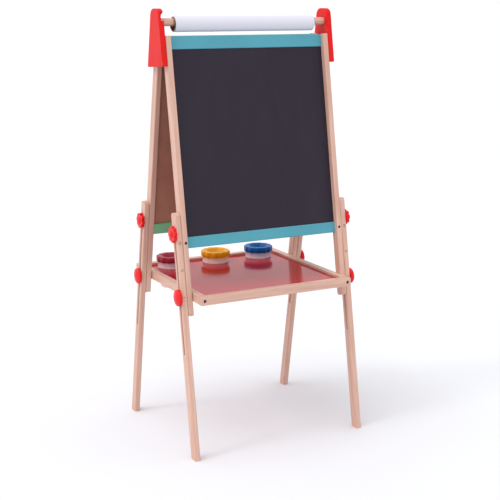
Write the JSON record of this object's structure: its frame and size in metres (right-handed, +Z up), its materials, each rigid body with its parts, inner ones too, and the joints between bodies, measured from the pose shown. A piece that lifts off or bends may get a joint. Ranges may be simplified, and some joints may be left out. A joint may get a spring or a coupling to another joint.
{
  "type": "folding easel",
  "caption": "Folding two-sided easel with a chalkboard, a whiteboard, sliding knob-locked legs, a tray of paint pots and a paper roll.",
  "frame": {"origin": "on the floor, under the middle of the outline of the opened easel at its tallest setting", "axes": "+X along the boards to the right as seen from the chalkboard side, +Y from the chalkboard side to the whiteboard side, +Z up"},
  "size_m": [0.4996, 0.4242, 1.0635],
  "materials": {
    "natural_wood": "clear satin lacquer",
    "red_wood": "painted, satin",
    "teal_wood": "painted, satin",
    "green_wood": "painted, satin",
    "chalkboard": "chalkboard paint, low sheen",
    "rear_board": "lacquered white outside, bare brown fibreboard inside",
    "tray_panel": "glossy lacquer",
    "red_plastic": "moulded, glossy",
    "cup_plastic": "translucent moulded",
    "lid_red": "moulded, glossy",
    "lid_yellow": "moulded, glossy",
    "lid_blue": "moulded, glossy",
    "steel": "zinc plated",
    "dark_screw": "bronzed",
    "brass": "turned",
    "cardboard": "wound tube",
    "paper": "uncoated"
  },
  "bodies": {
    "front_frame": {"bracket_left": "red_wood", "bracket_right": "red_wood", "bracket_screws": "steel", "bracket_dowels": "natural_wood", "pivot_pins": "steel", "front_post_left": "natural_wood", "front_post_right": "natural_wood", "front_top_rail": "teal_wood", "front_bottom_rail": "teal_wood", "chalkboard": "chalkboard", "front_rail_screws": "dark_screw", "front_post_inserts": "brass"},
    "rear_frame": {"rear_post_left": "natural_wood", "rear_post_right": "natural_wood", "rear_top_rail": "green_wood", "rear_bottom_rail": "green_wood", "whiteboard": "rear_board", "rear_rail_screws": "dark_screw", "rear_post_inserts": "brass"},
    "tray": {"tray_front_rail": "natural_wood", "tray_rear_rail": "natural_wood", "tray_left_rail": "natural_wood", "tray_right_rail": "natural_wood", "tray_panel": "tray_panel", "tray_screws": "dark_screw", "tray_inserts": "brass"},
    "leg_front_left": {"leg_front_left": "natural_wood"},
    "leg_front_right": {"leg_front_right": "natural_wood"},
    "leg_rear_left": {"leg_rear_left": "natural_wood"},
    "leg_rear_right": {"leg_rear_right": "natural_wood"},
    "knob_upper_front_left": {"knob_upper_front_left": "red_plastic", "stud_upper_front_left": "steel"},
    "knob_upper_front_right": {"knob_upper_front_right": "red_plastic", "stud_upper_front_right": "steel"},
    "knob_upper_rear_left": {"knob_upper_rear_left": "red_plastic", "stud_upper_rear_left": "steel"},
    "knob_upper_rear_right": {"knob_upper_rear_right": "red_plastic", "stud_upper_rear_right": "steel"},
    "knob_lower_front_left": {"knob_lower_front_left": "red_plastic", "stud_lower_front_left": "steel"},
    "knob_lower_front_right": {"knob_lower_front_right": "red_plastic", "stud_lower_front_right": "steel"},
    "knob_lower_rear_left": {"knob_lower_rear_left": "red_plastic", "stud_lower_rear_left": "steel"},
    "knob_lower_rear_right": {"knob_lower_rear_right": "red_plastic", "stud_lower_rear_right": "steel"},
    "dowel": {"dowel": "natural_wood"},
    "paper": {"paper_core": "cardboard", "paper_roll": "paper"},
    "cup_left": {"cup_left": "cup_plastic"},
    "lid_left": {"lid_left": "lid_red"},
    "cup_middle": {"cup_middle": "cup_plastic"},
    "lid_middle": {"lid_middle": "lid_yellow"},
    "cup_right": {"cup_right": "cup_plastic"},
    "lid_right": {"lid_right": "lid_blue"}
  },
  "joints": [
    {"name": "fold", "type": "hinge", "parent": "front_frame", "child": "rear_frame", "pos_m": [0, 0.01864, 0.968], "axis": [-1, 0, 0], "range_deg": [0, 19.4]},
    {"name": "tray_fold", "type": "hinge", "parent": "front_frame", "child": "tray", "pos_m": [0, -0.13289, 0.38922], "axis": [-1, 0, 0], "range_deg": [0, 99.8]},
    {"name": "leg_front_left_slide", "type": "slide", "parent": "front_frame", "child": "leg_front_left", "axis": [0, 0.1685, 0.9857], "range_m": [0, 0.135]},
    {"name": "leg_front_right_slide", "type": "slide", "parent": "front_frame", "child": "leg_front_right", "axis": [0, 0.1685, 0.9857], "range_m": [0, 0.135]},
    {"name": "leg_rear_left_slide", "type": "slide", "parent": "rear_frame", "child": "leg_rear_left", "axis": [0, -0.1685, 0.9857], "range_m": [0, 0.135]},
    {"name": "leg_rear_right_slide", "type": "slide", "parent": "rear_frame", "child": "leg_rear_right", "axis": [0, -0.1685, 0.9857], "range_m": [0, 0.135]},
    {"name": "knob_upper_front_left_turn", "type": "hinge", "parent": "front_frame", "child": "knob_upper_front_left", "pos_m": [-0.2378, -0.10728, 0.53904], "axis": [-1, 0, 0], "continuous": true},
    {"name": "knob_upper_front_right_turn", "type": "hinge", "parent": "front_frame", "child": "knob_upper_front_right", "pos_m": [0.2378, -0.10728, 0.53904], "axis": [1, 0, 0], "continuous": true},
    {"name": "knob_upper_rear_left_turn", "type": "hinge", "parent": "rear_frame", "child": "knob_upper_rear_left", "pos_m": [-0.2378, 0.09196, 0.53904], "axis": [-1, 0, 0], "continuous": true},
    {"name": "knob_upper_rear_right_turn", "type": "hinge", "parent": "rear_frame", "child": "knob_upper_rear_right", "pos_m": [0.2378, 0.09196, 0.53904], "axis": [1, 0, 0], "continuous": true},
    {"name": "knob_lower_front_left_turn", "type": "hinge", "parent": "front_frame", "child": "knob_lower_front_left", "pos_m": [-0.2378, -0.13289, 0.38922], "axis": [-1, 0, 0], "continuous": true},
    {"name": "knob_lower_front_right_turn", "type": "hinge", "parent": "front_frame", "child": "knob_lower_front_right", "pos_m": [0.2378, -0.13289, 0.38922], "axis": [1, 0, 0], "continuous": true},
    {"name": "knob_lower_rear_left_turn", "type": "hinge", "parent": "rear_frame", "child": "knob_lower_rear_left", "pos_m": [-0.2378, 0.11757, 0.38922], "axis": [-1, 0, 0], "continuous": true},
    {"name": "knob_lower_rear_right_turn", "type": "hinge", "parent": "rear_frame", "child": "knob_lower_rear_right", "pos_m": [0.2378, 0.11757, 0.38922], "axis": [1, 0, 0], "continuous": true},
    {"name": "dowel_swing", "type": "hinge", "parent": "front_frame", "child": "dowel", "pos_m": [0.2272, -0.01266, 1.0316], "axis": [0, 0.5736, 0.8192], "range_deg": [0, 5.5]},
    {"name": "paper_spin", "type": "hinge", "parent": "dowel", "child": "paper", "pos_m": [0, -0.01266, 1.0272], "axis": [1, 0, 0], "continuous": true},
    {"name": "cup_left_lift", "type": "slide", "parent": "tray", "child": "cup_left", "axis": [0, 0, 1], "range_m": [0, 0.06]},
    {"name": "lid_left_lift", "type": "slide", "parent": "cup_left", "child": "lid_left", "axis": [0, 0, 1], "range_m": [0, 0.025]},
    {"name": "cup_middle_lift", "type": "slide", "parent": "tray", "child": "cup_middle", "axis": [0, 0, 1], "range_m": [0, 0.06]},
    {"name": "lid_middle_lift", "type": "slide", "parent": "cup_middle", "child": "lid_middle", "axis": [0, 0, 1], "range_m": [0, 0.025]},
    {"name": "cup_right_lift", "type": "slide", "parent": "tray", "child": "cup_right", "axis": [0, 0, 1], "range_m": [0, 0.06]},
    {"name": "lid_right_lift", "type": "slide", "parent": "cup_right", "child": "lid_right", "axis": [0, 0, 1], "range_m": [0, 0.025]}
  ],
  "couplings": [
    {"joint": "tray_fold", "follows": "fold", "ratio": 5.1392}
  ]
}
